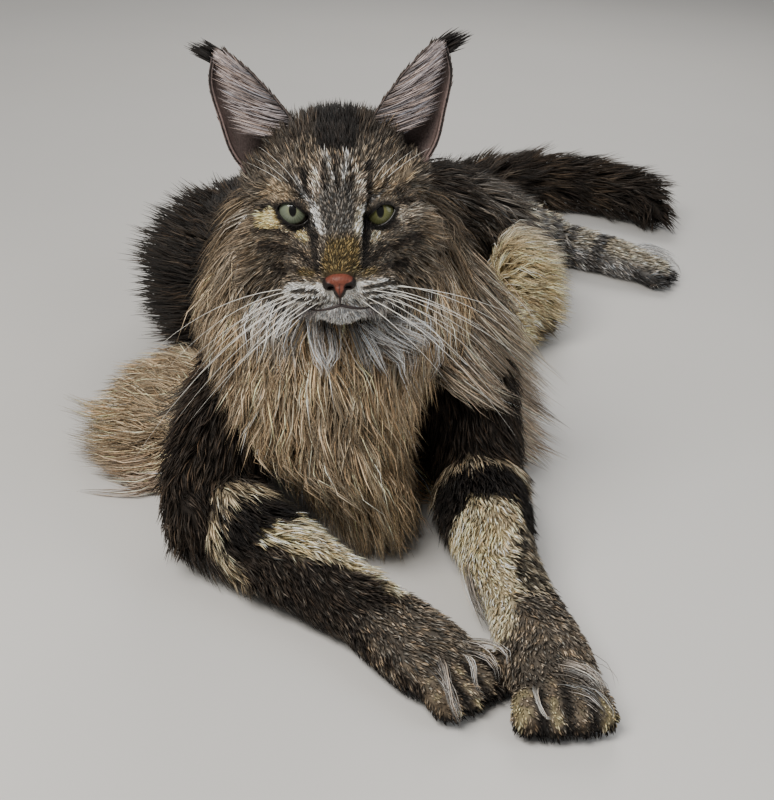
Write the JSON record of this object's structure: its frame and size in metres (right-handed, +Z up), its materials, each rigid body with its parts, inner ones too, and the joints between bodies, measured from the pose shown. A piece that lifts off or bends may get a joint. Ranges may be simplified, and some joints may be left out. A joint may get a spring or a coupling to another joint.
{
  "type": "maine coon cat",
  "caption": "Life-size still model of a long-haired brown tabby cat lying on its chest, forelegs stretched forward, hindquarters rolled to one side, bushy tail behind.",
  "frame": {"origin": "on the flat underside of the belly, where it rests on the floor, under the ribs", "axes": "+Z up, +Y towards the tail so that the cat faces -Y, +X to the cat's left"},
  "size_m": [0.5424, 0.9782, 0.3266],
  "materials": {
    "coat_black": "long soft fur, black-brown",
    "coat_brown": "tabby fur, ticked and striped",
    "coat_grey": "short ticked fur on the feet",
    "coat_fawn": "long silky fur, fawn and silver",
    "coat_cream": "long fluffy belly fur, cream",
    "nose_leather": "bare moist skin, brick red with a dark rim",
    "ear_skin": "thin skin with fine pale hair inside",
    "eye": "wet, green iris with a vertical pupil"
  },
  "bodies": {
    "root": {"head": "coat_brown", "nose_leather": "nose_leather", "ear_left": "ear_skin", "ear_right": "ear_skin", "eye_left": "eye", "eye_right": "eye", "neck": "coat_black", "ruff": "coat_fawn", "chest": "coat_black", "belly": "coat_brown", "hindquarters": "coat_brown", "upper_arm_right": "coat_black", "forearm_right": "coat_brown", "forepaw_right": "coat_grey", "upper_arm_left": "coat_black", "forearm_left": "coat_brown", "forepaw_left": "coat_grey", "thigh_right": "coat_brown", "shank_right": "coat_brown", "hind_foot_right": "coat_grey", "thigh_left": "coat_brown", "shank_left": "coat_brown", "hind_foot_left": "coat_grey", "tail_root": "coat_black", "tail_middle": "coat_black", "tail_end": "coat_black", "flank_fringe_right": "coat_fawn", "flank_fringe_left": "coat_fawn", "belly_fluff": "coat_cream"}
  },
  "joints": []
}
